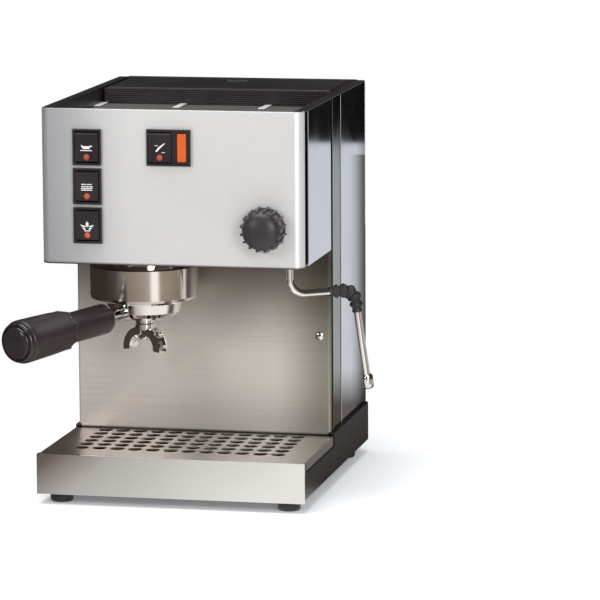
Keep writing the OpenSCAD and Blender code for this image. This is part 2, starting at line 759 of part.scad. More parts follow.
// Children are drawn about +Z down the lower tube, with z = 0 where the second bend ends.
module on_lower_tube() {
    translate([wand_reach + bend2_r * cos(wand_tilt), 0, wand_z - bend2_r + bend2_r * sin(wand_tilt)])
        rotate([0, 180 - wand_tilt, 0]) children();
}

module steam_wand() {
    color("#d5d3cf") wand_frame() {
        translate([0, 0, wand_z + bend1_r - bend_lap])
            cylinder(r = wand_r, h = valve_z + 9 - wand_z - bend1_r + bend_lap);
        translate([bend1_r, 0, wand_z + bend1_r]) rotate([90, 0, 0]) rotate([0, 0, 180])
            bend(bend1_r, wand_r - bend_thin, 90);
        rod_x(wand_r, 0, wand_z, bend1_r - bend_lap, wand_reach + bend_lap);
        wand_bend(wand_r);
        on_lower_tube() translate([0, 0, -bend_lap]) cylinder(r = wand_r, h = wand_drop + bend_lap);
    }
}

module wand_grip() {
    grip_r = 6.6;
    grip_back = 13;
    grip_down = 9;
    bore_r = wand_r + run_gap;
    color("#1a1617") wand_frame() difference() {
        union() {
            rod_x(grip_r, 0, wand_z, wand_reach - grip_back, wand_reach + bend_lap);
            wand_bend(grip_r);
            on_lower_tube() translate([0, 0, -bend_lap]) cylinder(r = grip_r, h = grip_down + bend_lap);
        }
        rod_x(bore_r, 0, wand_z, wand_reach - grip_back - 1, wand_reach + bend_lap);
        wand_bend(bore_r);
        on_lower_tube() translate([0, 0, -bend_lap]) cylinder(r = bore_r, h = grip_down + 2);
    }
}

module wand_nozzle() {
    r = 5.2;
    h = 13;
    color("#dedcd8") wand_frame() on_lower_tube() translate([0, 0, wand_drop]) difference() {
        translate([0, 0, -3]) rotate_extrude()
            polygon([[wand_r + run_gap, 0], [r - 0.8, 0], [r, 0.8], [r, h - 2.5], [r - 2, h], [0, h],
                     [0, 3.1], [wand_r + run_gap, 3.1]]);
        translate([0, 0, 5]) cylinder(r = 0.9, h = 10, $fn = 16);
    }
}

// A snap-in switch housing with its bezel, cut for a rocker at rocker_at from its middle
module housing(x, z, w, rocker_at) {
    y = head_front_y;
    half_w = (w - 3) / 2;
    half_h = (bezel_h - 3) / 2;
    difference() {
        union() {
            block([x - w / 2, y - bezel_t, z - bezel_h / 2], [x + w / 2, y, z + bezel_h / 2]);
            block([x - half_w, y - eps, z - half_h], [x + half_w, y + housing_d, z + half_h]);
        }
        block([x + rocker_at - rocker_w / 2 - 0.3, y - bezel_t - 1, z - rocker_r - 0.3],
              [x + rocker_at + rocker_w / 2 + 0.3, y + housing_d - 2, z + rocker_r + 0.3]);
    }
}

module switch_housings() {
    color("#1a1718") for (i = [0 : 2]) housing(switch_x, switch_top_z - i * switch_pitch, bezel_w, 0);
}

module power_switch_housing() {
    color("#1a1718") difference() {
        housing(power_x, power_z, power_w, power_rocker_x - power_x);
        block([lens_x - lens_w / 2 - 0.2, head_front_y - bezel_t - 1, power_z - lens_h / 2 - 0.2],
              [lens_x + lens_w / 2 + 0.2, head_front_y + 8, power_z + lens_h / 2 + 0.2]);
    }
}

// A rocker whose ends are arcs about its pivot, with a shallow V on its face and a hole for its lamp
module rocker(x, z) {
    difference() {
        translate([x - rocker_w / 2, pivot_y, z]) rotate([90, 0, 90]) linear_extrude(rocker_w)
            intersection() {
                circle(r = rocker_r);
                polygon([[-6.2, rocker_r], [-4.4, 3.5], [-5.2, -rocker_r], [3, -rocker_r], [5, 0],
                         [3, rocker_r]]);
            }
        rod_y(lamp_r + run_gap, x, z - lamp_drop, pivot_y - 10, pivot_y - 1);
    }
}
module lamp(x, z) { rod_y(lamp_r, x, z - lamp_drop, pivot_y - 5.6, pivot_y - 1.2); }

module brew_rocker() { color("#1f1b1d") rocker(switch_x, switch_top_z); }
module hot_water_rocker() { color("#1f1b1d") rocker(switch_x, switch_top_z - switch_pitch); }
module steam_rocker() { color("#1f1b1d") rocker(switch_x, switch_top_z - 2 * switch_pitch); }
module power_rocker() { color("#1f1b1d") rocker(power_rocker_x, power_z); }
module brew_lamp() { color("#b0482c") lamp(switch_x, switch_top_z); }
module hot_water_lamp() { color("#b0482c") lamp(switch_x, switch_top_z - switch_pitch); }
module steam_lamp() { color("#b0482c") lamp(switch_x, switch_top_z - 2 * switch_pitch); }
module power_lamp() { color("#b0482c") lamp(power_rocker_x, power_z); }

module heating_lamp() {
    y0 = head_front_y - bezel_t - 1;
    color("#e2662a", 0.9)
        block([lens_x - lens_w / 2, y0, power_z - lens_h / 2],
              [lens_x + lens_w / 2, head_front_y + 7, power_z + lens_h / 2]);
}

module boiler() {
    r = boiler_dia / 2;
    wall = 3;
    color("#b8894a") at_group() difference() {
        union() {
            translate([0, 0, boiler_z]) cylinder(r = flange_r, h = 5);
            translate([0, 0, boiler_z]) cylinder(r = r, h = boiler_h);
        }
        translate([0, 0, boiler_z - 1]) cylinder(r = r - wall, h = boiler_h - wall + 1);
        bolt_ring() translate([0, 0, boiler_z - 1]) cylinder(r = 3.2, h = 8, $fn = 32);
        for (a = [0, 180]) rotate([0, 0, a]) translate([element_r, 0, boiler_top - 10])
            cylinder(r = element_rad + 0.3, h = 20);
    }
}

module heating_element() {
    bend_up = element_r + 10;
    color("#8d8a86") at_group() {
        translate([0, 0, boiler_z + bend_up]) rotate([-90, 0, 0]) bend(element_r, element_rad, 180);
        for (a = [0, 180]) rotate([0, 0, a])
            translate([element_r, 0, boiler_z + bend_up - eps])
                cylinder(r = element_rad, h = boiler_h - bend_up + 5);
    }
}

module boiler_bolts() {
    color("#a9a6a0") at_group() bolt_ring() {
        translate([0, 0, flange_z + 0.2]) cylinder(r = 3, h = 12, $fn = 24);
        translate([0, 0, boiler_z + 5]) cylinder(r = 4.2, h = 4, $fn = 6);
    }
}

module thermostats() {
    color("#d9d4c6") at_group() for (a = [50, 90, 130]) rotate([0, 0, a])
        translate([element_r - 4, 0, boiler_top]) {
            cylinder(r = 6.5, h = 6);
            translate([0, 0, 5.9]) cylinder(r = 4.5, h = 3);
        }
}

module pump() {
    y = tank_mid_y;
    half = pump_face_y;
    color("#4a4644") {
        rod_x(10, y, pump_z, 40, 98);
        block([52, y - half, pump_z - half], [84, y + half, pump_z + half]);
        for (dy = [-14, 14])
            block([56, y + dy - 6, floor_top + 0.1], [80, y + dy + 6, pump_z - half + 1]);
    }
}

module solenoid_valve() {
    y = splash_y + 26;
    color("#55504c") {
        block([group_x - 13, y - 12, floor_plate_z + 2], [group_x + 13, y + 12, floor_plate_z + 28]);
        translate([group_x, y, floor_plate_z + 27.9]) cylinder(r = 16, h = 34);
    }
}

// Carries the solenoid's waste water down into the back of the tray
module drain_pipe() {
    y = splash_y + 10;
    color("#b5712f") {
        translate([group_x, y, tray_h + 1]) cylinder(r = 3, h = floor_plate_z - tray_h - 1 + 12);
        rod_y(3, group_x, floor_plate_z + 14, y - eps, splash_y + 13.8);
        rod_x(3, y, floor_plate_z + 14, group_x - 3, group_x + 3);
    }
}

// Steam from the boiler's top to the valve, and water from the pump to the solenoid
module copper_pipes() {
    bend_c = 4;
    rise = 6;
    steam_x = group_x + 14;
    steam_end_x = knob_x - bend_c;
    feed_y = splash_y + 26;
    feed_x = 70;
    feed_z = floor_plate_z + 14;
    inlet_z = knob_z - 8;
    color("#c27a42") {
        translate([steam_x, group_y, boiler_top]) cylinder(r = pipe_r, h = rise);
        translate([steam_x + bend_c, group_y, boiler_top + rise]) rotate([90, 0, 0]) rotate([0, 0, 90])
            bend(bend_c, pipe_r, 90);
        rod_x(pipe_r, group_y, boiler_top + rise + bend_c, steam_x + bend_c - eps, steam_end_x);
        translate([steam_end_x, group_y, boiler_top + rise]) rotate([90, 0, 0]) bend(bend_c, pipe_r, 90);
        translate([knob_x, group_y, inlet_z]) cylinder(r = pipe_r, h = boiler_top + rise - inlet_z + eps);
        rod_y(pipe_r, knob_x, inlet_z, group_y - 14, group_y);
        translate([feed_x, feed_y, pump_z]) cylinder(r = pipe_r, h = feed_z - pump_z);
        rod_x(pipe_r, feed_y, feed_z, group_x + 13.2, feed_x + pipe_r);
        rod_y(pipe_r, feed_x, pump_z, feed_y - pipe_r, tank_mid_y - pump_face_y - 0.2);
    }
}

base_frame();
rubber_feet();
drip_tray();
drip_grate();
splash_panel();
panel_screws();
front_panel();
head_floor();
inner_frame();
left_head_side();
right_head_side();
corner_posts();
left_side_panel();
right_side_panel();
rear_panel();
cord_gland();
top_rails();
cup_tray();
lid_surround();
tank_lid();
water_tank();
tank_seat();
suction_hose();
group_body();
group_gasket();
shower_plate();
shower_screen();
screen_screw();
portafilter_body();
portafilter_handle();
handle_cap();
filter_basket();
basket_spring();
twin_spout();
steam_knob();
valve_stem();
steam_valve();
wand_nut();
steam_wand();
wand_grip();
wand_nozzle();
switch_housings();
power_switch_housing();
brew_rocker();
hot_water_rocker();
steam_rocker();
power_rocker();
brew_lamp();
hot_water_lamp();
steam_lamp();
power_lamp();
heating_lamp();
boiler();
heating_element();
boiler_bolts();
thermostats();
pump();
solenoid_valve();
drain_pipe();
copper_pipes();
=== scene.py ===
"""Espresso machine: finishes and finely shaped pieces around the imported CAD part. Metres, +Z up."""

import json
import math

import bmesh
import bpy
from mathutils import Matrix, Vector


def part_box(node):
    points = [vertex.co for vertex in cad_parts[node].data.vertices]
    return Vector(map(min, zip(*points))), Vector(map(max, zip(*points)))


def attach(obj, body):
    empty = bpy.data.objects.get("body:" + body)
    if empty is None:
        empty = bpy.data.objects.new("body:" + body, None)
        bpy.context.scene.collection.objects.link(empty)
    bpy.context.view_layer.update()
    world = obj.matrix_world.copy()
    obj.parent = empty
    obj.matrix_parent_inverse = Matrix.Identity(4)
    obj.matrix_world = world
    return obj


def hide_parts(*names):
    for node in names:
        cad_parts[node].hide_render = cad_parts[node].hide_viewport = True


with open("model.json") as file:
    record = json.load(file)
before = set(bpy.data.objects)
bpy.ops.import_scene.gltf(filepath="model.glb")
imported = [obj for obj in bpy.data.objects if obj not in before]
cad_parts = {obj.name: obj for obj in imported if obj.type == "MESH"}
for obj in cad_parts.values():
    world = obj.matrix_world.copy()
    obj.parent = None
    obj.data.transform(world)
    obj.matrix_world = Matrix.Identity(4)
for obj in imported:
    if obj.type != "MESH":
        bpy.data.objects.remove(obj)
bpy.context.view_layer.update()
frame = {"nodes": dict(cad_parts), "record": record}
cad_nodes = frame["nodes"]
MM = 0.001
AXIS_X, AXIS_Y, AXIS_Z = Vector((1, 0, 0)), Vector((0, 1, 0)), Vector((0, 0, 1))


# ---------------------------------------------------------------- camera
CAMERA_TURN, CAMERA_RISE, CAMERA_ROLL = 13.416, 9.185, -0.477
CAMERA_PLACE = (0.803278, -3.362861, 0.705128)
FOCAL_LENGTH, SENSOR_WIDTH, SHIFT_RIGHT, SHIFT_UP = 238.45, 36, 0.1515, 0.0219


def place_camera():
    azimuth, elevation, roll = map(math.radians, (CAMERA_TURN, CAMERA_RISE, CAMERA_ROLL))
    back = Vector((math.sin(azimuth) * math.cos(elevation), -math.cos(azimuth) * math.cos(elevation),
                   math.sin(elevation)))
    right = Vector((math.cos(azimuth), math.sin(azimuth), 0))
    up = back.cross(right)
    right, up = (math.cos(roll) * right + math.sin(roll) * up,
                 math.cos(roll) * up - math.sin(roll) * right)
    lens = bpy.data.cameras.new("studio_camera")
    lens.lens, lens.sensor_width = FOCAL_LENGTH, SENSOR_WIDTH
    lens.shift_x, lens.shift_y = SHIFT_RIGHT, SHIFT_UP
    lens.clip_end = 50
    camera = bpy.data.objects.new("studio_camera", lens)
    camera.matrix_world = Matrix.Translation(CAMERA_PLACE) @ Matrix(
        (right, up, back)).transposed().to_4x4()
    bpy.context.scene.collection.objects.link(camera)
    bpy.context.scene.camera = camera


place_camera()


# ---------------------------------------------------------------- node groups
def new_group(name, inputs, outputs):
    group = bpy.data.node_groups.new(name, "ShaderNodeTree")
    for label, kind, default in inputs:
        socket = group.interface.new_socket(label, in_out="INPUT", socket_type=kind)
        if default is not None:
            socket.default_value = default
    for label, kind in outputs:
        group.interface.new_socket(label, in_out="OUTPUT", socket_type=kind)
    return group, group.nodes.new("NodeGroupInput"), group.nodes.new("NodeGroupOutput")


def add(tree, kind, links=(), **settings):
    """A node with its settings; links are (own input, source socket or constant)."""
    node = tree.nodes.new(kind)
    for key, value in settings.items():
        setattr(node, key, value)
    for socket, value in links:
        if isinstance(value, bpy.types.NodeSocket):
            tree.links.new(value, node.inputs[socket])
        else:
            node.inputs[socket].default_value = value
    return node


def map_range(tree, value, low, high, to_low, to_high):
    return add(tree, "ShaderNodeMapRange", [("Value", value), ("From Min", low), ("From Max", high),
                                            ("To Min", to_low), ("To Max", to_high)]).outputs["Result"]


def make_grain_group():
    """Fine lines drawn out along one axis: a streak value and the bump that goes with it."""
    group, given, result = new_group(
        "drawn_grain",
        [("Stretch", "NodeSocketVector", (40, 40, 1500)), ("Depth", "NodeSocketFloat", 0.2)],
        [("Streak", "NodeSocketFloat"), ("Normal", "NodeSocketVector")])
    place = add(group, "ShaderNodeTexCoord").outputs["Object"]
    scaled = add(group, "ShaderNodeVectorMath", [(0, place), (1, given.outputs["Stretch"])],
                 operation="MULTIPLY").outputs["Vector"]
    fine = add(group, "ShaderNodeTexNoise", [("Vector", scaled), ("Scale", 1.0), ("Detail", 3.0)])
    wide = add(group, "ShaderNodeVectorMath", [(0, scaled), (1, (0.2, 0.2, 0.2))],
               operation="MULTIPLY").outputs["Vector"]
    broad = add(group, "ShaderNodeTexNoise", [("Vector", wide), ("Scale", 1.0), ("Detail", 2.0)])
    both = add(group, "ShaderNodeMath", [(0, fine.outputs["Fac"]), (1, broad.outputs["Fac"])],
               operation="ADD").outputs[0]
    streak = map_range(group, both, 0.7, 1.3, 0.0, 1.0)
    bump = add(group, "ShaderNodeBump", [("Height", streak), ("Strength", given.outputs["Depth"]),
                                         ("Distance", 0.0001)])
    group.links.new(streak, result.inputs["Streak"])
    group.links.new(bump.outputs["Normal"], result.inputs["Normal"])
    return group


def make_handling_group():
    """Slow smears of a wiped surface, between two roughness values."""
    group, given, result = new_group(
        "wiped_surface",
        [("Smear Scale", "NodeSocketFloat", 18.0), ("Smooth", "NodeSocketFloat", 0.1),
         ("Rough", "NodeSocketFloat", 0.2)],
        [("Roughness", "NodeSocketFloat"), ("Smear", "NodeSocketFloat")])
    place = add(group, "ShaderNodeTexCoord").outputs["Object"]
    smear = add(group, "ShaderNodeTexNoise", [("Vector", place), ("Scale", given.outputs["Smear Scale"]),
                                              ("Detail", 4.0), ("Distortion", 0.6)]).outputs["Fac"]
    smear = map_range(group, smear, 0.3, 0.7, 0.0, 1.0)
    rough = add(group, "ShaderNodeMapRange", [("Value", smear), ("To Min", given.outputs["Smooth"]),
                                              ("To Max", given.outputs["Rough"])]).outputs["Result"]
    group.links.new(rough, result.inputs["Roughness"])
    group.links.new(smear, result.inputs["Smear"])
    return group


def make_pebble_group():
    """The fine pebbled skin of moulded plastic, paint and rubber."""
    group, given, result = new_group(
        "pebbled_skin",
        [("Scale", "NodeSocketFloat", 1500.0), ("Depth", "NodeSocketFloat", 0.2)],
        [("Normal", "NodeSocketVector")])
    place = add(group, "ShaderNodeTexCoord").outputs["Object"]
    cells = add(group, "ShaderNodeTexNoise", [("Vector", place), ("Scale", given.outputs["Scale"]),
                                              ("Detail", 2.0)])
    bump = add(group, "ShaderNodeBump", [("Height", cells.outputs["Fac"]),
                                         ("Strength", given.outputs["Depth"]), ("Distance", 0.0002)])
    group.links.new(bump.outputs["Normal"], result.inputs["Normal"])
    return group


GRAIN = make_grain_group()
HANDLING = make_handling_group()
PEBBLE = make_pebble_group()


# ---------------------------------------------------------------- finishes
def finish_shader(name, **constants):
    material = bpy.data.materials.new(name)
    material.use_nodes = True
    tree = material.node_tree
    shader = tree.nodes["Principled BSDF"]
    for socket, value in constants.items():
        shader.inputs[socket.replace("_", " ")].default_value = value
    return material, tree, shader


def colour_mix(tree, mask, a, b):
    """The colour mixed from a to b by the mask; a and b are colours or sockets."""
    node = tree.nodes.new("ShaderNodeMix")
    node.data_type = "RGBA"
    tree.links.new(mask, node.inputs[0])
    for socket, value in ((node.inputs[6], a), (node.inputs[7], b)):
        if isinstance(value, bpy.types.NodeSocket):
            tree.links.new(value, socket)
        else:
            socket.default_value = (*value, 1)
    return node.outputs[2]


def metal(name, dark, light, smooth, rough, stretch=None, depth=0.1):
    """A metal with wiped smears, and drawn grain where stretch gives its direction."""
    material, tree, shader = finish_shader(name, Metallic=1.0)
    wiped = add(tree, "ShaderNodeGroup", node_tree=HANDLING)
    wiped.inputs["Smooth"].default_value = smooth
    wiped.inputs["Rough"].default_value = rough
    mask = wiped.outputs["Smear"]
    if stretch:
        grain = add(tree, "ShaderNodeGroup", node_tree=GRAIN)
        grain.inputs["Stretch"].default_value = stretch
        grain.inputs["Depth"].default_value = depth
        mask = grain.outputs["Streak"]
        tree.links.new(grain.outputs["Normal"], shader.inputs["Normal"])
    tree.links.new(colour_mix(tree, mask, dark, light), shader.inputs["Base Color"])
    tree.links.new(wiped.outputs["Roughness"], shader.inputs["Roughness"])
    return material


def moulded(name, dark, light, smooth, rough, scale=1500.0, depth=0.2, **constants):
    """A moulded or painted finish: pebbled skin and slow smears."""
    material, tree, shader = finish_shader(name, **constants)
    wiped = add(tree, "ShaderNodeGroup", node_tree=HANDLING)
    wiped.inputs["Smooth"].default_value = smooth
    wiped.inputs["Rough"].default_value = rough
    pebble = add(tree, "ShaderNodeGroup", node_tree=PEBBLE)
    pebble.inputs["Scale"].default_value = scale
    pebble.inputs["Depth"].default_value = depth
    tree.links.new(colour_mix(tree, wiped.outputs["Smear"], dark, light), shader.inputs["Base Color"])
    tree.links.new(wiped.outputs["Roughness"], shader.inputs["Roughness"])
    tree.links.new(pebble.outputs["Normal"], shader.inputs["Normal"])
    return material


def clear(name, tint_dark, tint_light, smooth, rough, transmission, **constants):
    """A translucent moulding with slightly uneven tint."""
    return moulded(name, tint_dark, tint_light, smooth, rough, scale=700.0, depth=0.05,
                   Transmission_Weight=transmission, **constants)


def painted_shading(material, axis, low, high, dark, light):
    """Painted shade: the finish's colour multiplied by a slow change of tint from low to high along an axis;
    millimetres.
    """
    tree = material.node_tree
    socket = tree.nodes["Principled BSDF"].inputs["Base Color"]
    plain = socket.links[0].from_socket
    place = add(tree, "ShaderNodeSeparateXYZ",
                [("Vector", add(tree, "ShaderNodeTexCoord").outputs["Object"])]).outputs[axis]
    share = add(tree, "ShaderNodeMapRange",
                [("Value", place), ("From Min", low * MM), ("From Max", high * MM)],
                interpolation_type="SMOOTHSTEP").outputs["Result"]
    shade_colour = colour_mix(tree, share, dark, light)
    node = tree.nodes.new("ShaderNodeMix")
    node.data_type, node.blend_type = "RGBA", "MULTIPLY"
    node.inputs[0].default_value = 1.0
    tree.links.new(plain, node.inputs[6])
    tree.links.new(shade_colour, node.inputs[7])
    tree.links.new(node.outputs[2], socket)
    return material


ALONG_X = (18, 18, 2600)
WHITE = (1, 1, 1)
FINISH = {
    "polished_steel": metal("polished_steel", (0.76, 0.77, 0.78), (0.82, 0.83, 0.84), 0.05, 0.09,
                            stretch=(20, 20, 20), depth=0.02),
    # Side panels: painted dark reflection, darker towards the rear edge (Y 95 to 138 mm).
    "side_steel_painted_reflection": painted_shading(metal("side_steel_painted_reflection", (0.76, 0.77, 0.78), (0.82, 0.83, 0.84), 0.05, 0.09,
                               stretch=(20, 20, 20), depth=0.02), "Y", 95, 138, WHITE, (0.42, 0.36, 0.39)),
    # Corner posts: a darker copy of the polished steel, painted shade.
    "post_steel_painted_shade": metal("post_steel_painted_shade", (0.22, 0.22, 0.185), (0.26, 0.26, 0.22), 0.08, 0.14,
                        stretch=(20, 20, 20), depth=0.02),
    # Front panel steel: painted reflection, darker towards the left edge (X -118 to -30 mm), and a painted
    # dark line of shade along the panel's lower edge (Z 207.2 to 209.6 mm).
    "soft_steel": painted_shading(painted_shading(metal("soft_steel", (0.84, 0.845, 0.85), (0.87, 0.87, 0.87), 0.40, 0.44,
                                      stretch=(900, 900, 900), depth=0.04), "X", -118, -30,
                                (0.50, 0.515, 0.54), WHITE), "Z", 207.2, 209.6, (0.10, 0.06, 0.05), WHITE),
    "grained_steel": metal("grained_steel", (0.50, 0.47, 0.44), (0.60, 0.57, 0.54), 0.30, 0.36,
                           stretch=ALONG_X, depth=0.12),
    # Splash panel: painted shade, darker towards the right edge (X 60 to 113 mm) and towards the top under
    # the head (Z 100 to 210 mm), and a painted dark line of shadow along its lower edge (Z 44 to 46.4 mm).
    "splash_steel_painted_shade": painted_shading(painted_shading(painted_shading(
        metal("splash_steel_painted_shade", (0.86, 0.82, 0.78), (0.94, 0.90, 0.86), 0.33, 0.38,
              stretch=ALONG_X, depth=0.10),
        "X", 60, 113, WHITE, (0.40, 0.39, 0.35)), "Z", 100, 210, WHITE, (0.20, 0.175, 0.16)),
        "Z", 44.0, 46.4, (0.07, 0.06, 0.055), WHITE),
    # Drip grate: painted shade, darker towards the left (X -110 to 60 mm).
    "grate_steel_painted_shade": painted_shading(metal("grate_steel_painted_shade", (0.86, 0.82, 0.78), (0.96, 0.92, 0.88), 0.30, 0.36,
                                stretch=(25, 900, 900), depth=0.05),
                          "X", -110, 60, (0.66, 0.58, 0.54), WHITE),
    # Drip tray: painted shade, darker everywhere behind its front edge (from Y -141 to -139 mm on).
    "tray_steel_painted_shade": painted_shading(metal("tray_steel_painted_shade", (0.76, 0.77, 0.78), (0.82, 0.83, 0.84), 0.05, 0.09,
                               stretch=(20, 20, 20), depth=0.02), "Y", -141, -139, WHITE, (0.22, 0.18, 0.16)),
    "tray_floor": metal("tray_floor", (0.17, 0.15, 0.145), (0.22, 0.195, 0.19), 0.30, 0.40,
                        stretch=(20, 20, 20), depth=0.02),
    "black_paint": moulded("black_paint", (0.012, 0.011, 0.012), (0.022, 0.020, 0.022), 0.25, 0.38),
    "black_plastic": moulded("black_plastic", (0.018, 0.012, 0.013), (0.030, 0.021, 0.023), 0.27, 0.38),
    "gloss_black": moulded("gloss_black", (0.016, 0.012, 0.014), (0.028, 0.022, 0.025), 0.16, 0.24,
                           depth=0.05),
    "knob_black": moulded("knob_black", (0.030, 0.022, 0.026), (0.042, 0.032, 0.037), 0.40, 0.46, depth=0.06),
    "lid_black": moulded("lid_black", (0.010, 0.009, 0.009), (0.018, 0.016, 0.016), 0.35, 0.5),
    "satin_chrome": metal("satin_chrome", (0.66, 0.61, 0.56), (0.76, 0.72, 0.68), 0.10, 0.17),
    "clip_steel": metal("clip_steel", (0.80, 0.78, 0.76), (0.88, 0.87, 0.86), 0.35, 0.42),
    "bright_chrome": metal("bright_chrome", (0.84, 0.83, 0.82), (0.90, 0.90, 0.90), 0.03, 0.07),
    "brass": metal("brass", (0.60, 0.40, 0.16), (0.72, 0.52, 0.25), 0.2, 0.32),
    "copper": metal("copper", (0.62, 0.30, 0.16), (0.78, 0.42, 0.26), 0.2, 0.34),
    "black_rubber": moulded("black_rubber", (0.016, 0.013, 0.013), (0.034, 0.028, 0.028), 0.4, 0.55,
                            scale=900.0, depth=0.3),
    "amber_lens": clear("amber_lens", (0.55, 0.09, 0.012), (0.72, 0.14, 0.02), 0.2, 0.3, 0.15,
                        Emission_Color=(0.70, 0.12, 0.015, 1), Emission_Strength=0.12),
    "lamp_lens": clear("lamp_lens", (0.34, 0.06, 0.035), (0.50, 0.11, 0.06), 0.15, 0.25, 0.2,
                       Emission_Color=(0.6, 0.12, 0.06, 1), Emission_Strength=0.12),
    "clear_plastic": clear("clear_plastic", (0.80, 0.83, 0.85), (0.88, 0.90, 0.92), 0.08, 0.16, 0.85),
    "silicone": clear("silicone", (0.72, 0.68, 0.60), (0.80, 0.77, 0.70), 0.35, 0.5, 0.4),
    "heater_steel": metal("heater_steel", (0.34, 0.31, 0.29), (0.46, 0.43, 0.40), 0.3, 0.45),
    "machined_steel": metal("machined_steel", (0.56, 0.55, 0.54), (0.68, 0.67, 0.66), 0.22, 0.32),
    "ceramic": moulded("ceramic", (0.66, 0.62, 0.54), (0.76, 0.73, 0.66), 0.4, 0.6),
    "dark_coil": moulded("dark_coil", (0.05, 0.042, 0.04), (0.09, 0.08, 0.075), 0.45, 0.65),
    "white_print": moulded("white_print", (0.72, 0.72, 0.72), (0.86, 0.86, 0.86), 0.4, 0.55),
}
for sheet, metallic in (("soft_steel", 0.6), ("splash_steel_painted_shade", 0.7), ("tray_floor", 0.3), ("clip_steel", 0.3),
                        ("grained_steel", 0.8)):
    FINISH[sheet].node_tree.nodes["Principled BSDF"].inputs["Metallic"].default_value = metallic
SLOT_OF = {part["node"]: part["material_slot"] for part in frame["record"]["subparts"]}
for node_name, node_object in cad_nodes.items():
    for place in node_object.material_slots:
        place.material = FINISH[SLOT_OF[node_name]]
OWN_FINISH = {"corner_posts": "post_steel_painted_shade", "splash_panel": "splash_steel_painted_shade", "left_side_panel": "side_steel_painted_reflection",
              "right_side_panel": "side_steel_painted_reflection", "tank_lid": "lid_black", "lid_surround": "black_plastic",
              "cup_tray": "tray_floor", "drip_grate": "grate_steel_painted_shade", "drip_tray": "tray_steel_painted_shade"}


# ---------------------------------------------------------------- shaping
SHARP_EDGE = math.radians(28)
ROUNDING_STEPS = 3
BODY_OF = {n: body for body, names in frame["record"]["behaviour"]["bodies"].items() for n in names}


def piece_from(bm, name, body, slot, replaced=(), finishes=None, smooth_angle=32.0, outward=True):
    """The finished piece of a bmesh: normals out, smooth where it is round, riding on its body."""
    bmesh.ops.remove_doubles(bm, verts=bm.verts, dist=0.000002)
    if outward:
        bmesh.ops.recalc_face_normals(bm, faces=bm.faces)
    mesh = bpy.data.meshes.new(name)
    bm.to_mesh(mesh)
    bm.free()
    mesh.shade_smooth()
    mesh.set_sharp_from_angle(angle=math.radians(smooth_angle))
    for finish in finishes or [slot]:
        mesh.materials.append(FINISH[finish])
    piece = bpy.data.objects.new(name, mesh)
    bpy.context.scene.collection.objects.link(piece)
    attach(piece, body)
    if replaced:
        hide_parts(*replaced)
    return piece


def softened(node, width):
    """A merged copy of a CAD node with its sharp edges rounded, standing in its place."""
    bm = bmesh.new()
    bm.from_mesh(cad_nodes[node].data)
    bmesh.ops.remove_doubles(bm, verts=bm.verts, dist=0.000005)
    bmesh.ops.dissolve_limit(bm, angle_limit=math.radians(0.4), verts=bm.verts, edges=bm.edges,
                             use_dissolve_boundaries=False, delimit={"NORMAL"})
    edges = [e for e in bm.edges if e.is_manifold and e.calc_face_angle(0) > SHARP_EDGE]
    bmesh.ops.bevel(bm, geom=edges, offset=width * MM, offset_type="OFFSET", affect="EDGES",
                    segments=ROUNDING_STEPS, profile=0.5, material=-1, clamp_overlap=True)
    for face in bm.faces:
        face.material_index = 0
    piece = piece_from(bm, node + "_finished", BODY_OF[node], SLOT_OF[node], [node],
                       finishes=[OWN_FINISH.get(node, SLOT_OF[node])], outward=False)
    flat = piece.modifiers.new("flat_faces", "WEIGHTED_NORMAL")
    flat.mode, flat.weight, flat.keep_sharp = "FACE_AREA", 100, True


for node_name, width in {
    "base_frame": 0.8, "splash_panel": 0.35, "front_panel": 0.35, "left_head_side": 0.35,
    "right_head_side": 0.35, "corner_posts": 0.35, "left_side_panel": 0.35, "right_side_panel": 0.35,
    "rear_panel": 0.3, "top_rails": 0.3, "cup_tray": 0.35, "lid_surround": 0.25, "tank_lid": 0.8,
    "drip_tray": 0.4, "rubber_feet": 0.8, "switch_housings": 0.5, "power_switch_housing": 0.5,
    "brew_rocker": 0.5, "hot_water_rocker": 0.5, "steam_rocker": 0.5, "power_rocker": 0.5,
    "heating_lamp": 0.5, "drip_grate": 0.3, "wand_nut": 0.4, "cord_gland": 0.4,
}.items():
    softened(node_name, width)


def lathe(bm, profile, origin, axis, steps=96):
    """Spins a profile about an axis; its points are (radius, distance along the axis) in millimetres."""
    side = axis.orthogonal().normalized()
    points = [bm.verts.new(origin + (axis * along + side * radius) * MM) for radius, along in profile]
    edges = [bm.edges.new(pair) for pair in zip(points, points[1:])]
    bmesh.ops.spin(bm, geom=points + edges, cent=origin, axis=axis, angle=math.tau, steps=steps,
                   use_merge=True)


def plate(bm, outline, origin, across, up, thickness, bevel=0.0, segments=2):
    """A flat outline in the plane of across and up, thickened both ways; millimetres."""
    through = across.cross(up)
    face = bm.faces.new([bm.verts.new(origin + (across * a + up * b - through * thickness / 2) * MM)
                         for a, b in outline])
    grown = bmesh.ops.extrude_face_region(bm, geom=[face])["geom"]
    new_verts = [g for g in grown if isinstance(g, bmesh.types.BMVert)]
    bmesh.ops.translate(bm, verts=new_verts, vec=through * thickness * MM)
    if bevel:
        verts = set(new_verts) | set(face.verts)
        edges = [e for e in bm.edges if e.verts[0] in verts and e.verts[1] in verts]
        bmesh.ops.bevel(bm, geom=edges, offset=bevel * MM, offset_type="OFFSET", affect="EDGES",
                        segments=segments, profile=0.5, material=-1, clamp_overlap=True)


# ---------------------------------------------------------------- steam knob
FINS, FIN_THICKNESS, FIN_STANDS = 16, 1.9, 3.0


